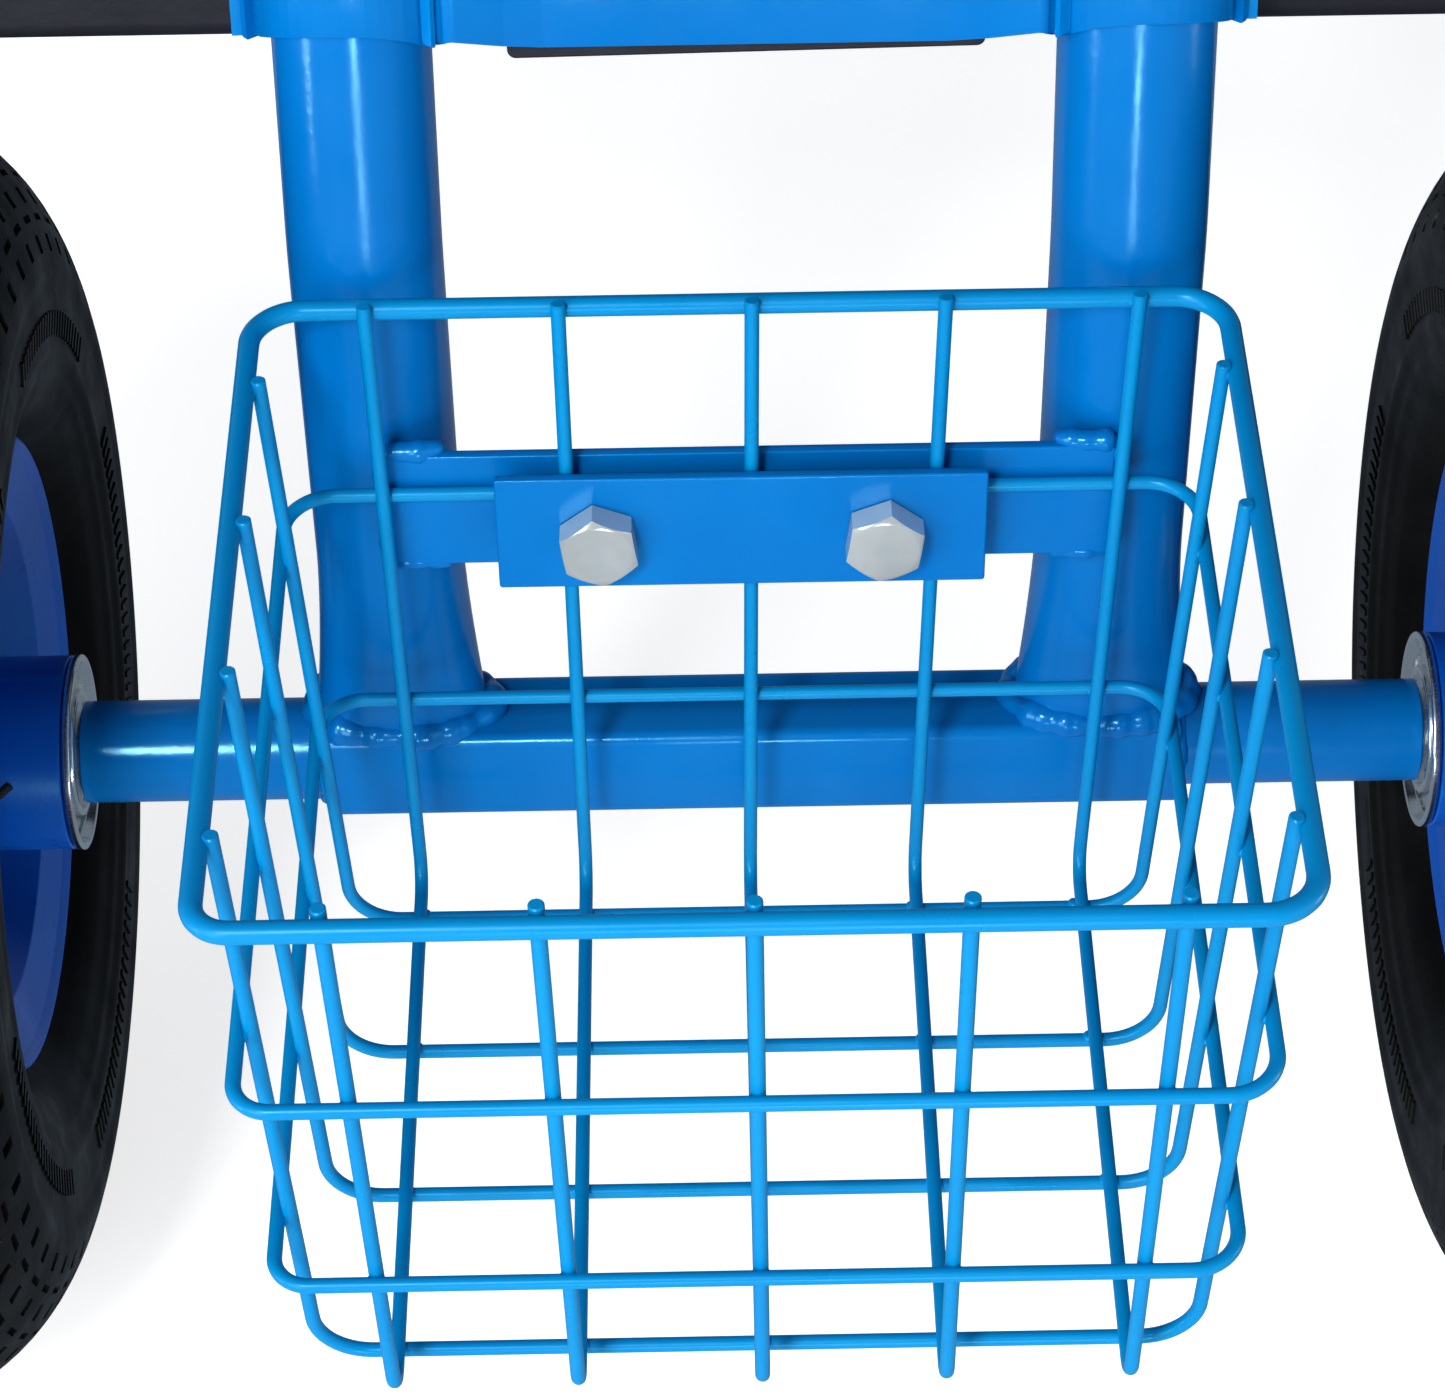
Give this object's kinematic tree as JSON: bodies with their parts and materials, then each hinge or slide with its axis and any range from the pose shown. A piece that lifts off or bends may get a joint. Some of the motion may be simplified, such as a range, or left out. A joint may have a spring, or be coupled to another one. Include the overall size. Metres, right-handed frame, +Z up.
{
  "type": "garden hose reel cart",
  "caption": "Two-wheeled steel tube cart with a hose drum on a crank, a wire tool basket ahead of the axle, a rear stand and a pull handle.",
  "frame": {"origin": "on the ground at the centre of the cart's bounding box", "axes": "+Z up, +X to the right along the wheel axle, -Y towards the basket side, +Y towards the rear stand"},
  "size_m": [0.4888, 0.6736, 0.8913],
  "materials": {
    "frame_blue": "glossy blue powder coat",
    "basket_blue": "satin lighter blue powder coat",
    "rim_blue": "satin dark blue paint",
    "frame_black": "satin black powder coat",
    "zinc": "bright zinc plate",
    "brass": "turned brass",
    "tyre_rubber": "moulded tread rubber",
    "black_rubber": "soft matt rubber",
    "black_plastic": "moulded matt plastic"
  },
  "bodies": {
    "frame": {"basket": "basket_blue", "basket_clamp_plate": "frame_blue", "brace": "frame_blue", "upright_left": "frame_blue", "upright_right": "frame_blue", "handle_hoop": "frame_blue", "axle_crossbar": "frame_blue", "axle_sleeve_left": "frame_blue", "axle_sleeve_right": "frame_blue", "lower_saddle": "frame_blue", "upper_saddle": "frame_blue", "basket_bolt_left": "zinc", "basket_bolt_right": "zinc", "handle_bolt_left": "zinc", "handle_bolt_right": "zinc", "axle_rod": "zinc", "axle_nut_left": "zinc", "axle_nut_right": "zinc", "lower_saddle_bolt_left": "zinc", "lower_saddle_bolt_right": "zinc", "upper_saddle_bolt_left": "zinc", "upper_saddle_bolt_right": "zinc", "handle_grip": "black_rubber", "rubber_foot_left": "black_rubber", "rubber_foot_right": "black_rubber", "lower_backing_plate": "frame_black", "upper_backing_plate": "frame_black", "lower_cross_bar": "frame_black", "upper_cross_bar": "frame_black", "side_plate_left": "frame_black", "side_plate_right": "frame_black", "rear_stand": "frame_black", "shaft_bush_left": "black_plastic", "shaft_bush_right": "black_plastic"},
    "wheel_left": {"tyre_left": "tyre_rubber", "inner_tube_left": "black_rubber", "rim_inner_left": "rim_blue", "rim_outer_left": "rim_blue", "bearing_inner_left": "zinc", "bearing_outer_left": "zinc", "wheel_hub_left": "rim_blue", "valve_stem_left": "black_rubber"},
    "wheel_right": {"tyre_right": "tyre_rubber", "inner_tube_right": "black_rubber", "rim_inner_right": "rim_blue", "rim_outer_right": "rim_blue", "bearing_inner_right": "zinc", "bearing_outer_right": "zinc", "wheel_hub_right": "rim_blue", "valve_stem_right": "black_rubber"},
    "reel": {"drum_core": "frame_black", "drum_flange_left": "frame_black", "drum_flange_right": "frame_black", "reel_shaft": "zinc", "hose_outlet": "brass", "crank_arm": "frame_black", "crank_pin": "zinc"},
    "crank_grip": {"crank_grip": "black_plastic"},
    "inlet": {"inlet_elbow": "brass"},
    "coupling": {"inlet_coupling": "brass"}
  },
  "joints": [
    {"name": "wheel_left_spin", "type": "hinge", "parent": "frame", "child": "wheel_left", "pos_m": [-0.18485, -0.17023, 0.128], "axis": [1, 0, 0], "continuous": true},
    {"name": "wheel_right_spin", "type": "hinge", "parent": "frame", "child": "wheel_right", "pos_m": [0.15815, -0.17023, 0.128], "axis": [1, 0, 0], "continuous": true},
    {"name": "reel_spin", "type": "hinge", "parent": "frame", "child": "reel", "pos_m": [-0.01335, 0.08877, 0.336], "axis": [1, 0, 0], "continuous": true},
    {"name": "crank_grip_spin", "type": "hinge", "parent": "reel", "child": "crank_grip", "pos_m": [0.19065, 0.08877, 0.211], "axis": [1, 0, 0], "continuous": true},
    {"name": "inlet_swivel", "type": "hinge", "parent": "frame", "child": "inlet", "pos_m": [-0.18435, 0.08877, 0.336], "axis": [1, 0, 0], "continuous": true},
    {"name": "coupling_spin", "type": "hinge", "parent": "inlet", "child": "coupling", "pos_m": [-0.18435, 0.08877, 0.2945], "axis": [0, 0, 1], "continuous": true}
  ]
}
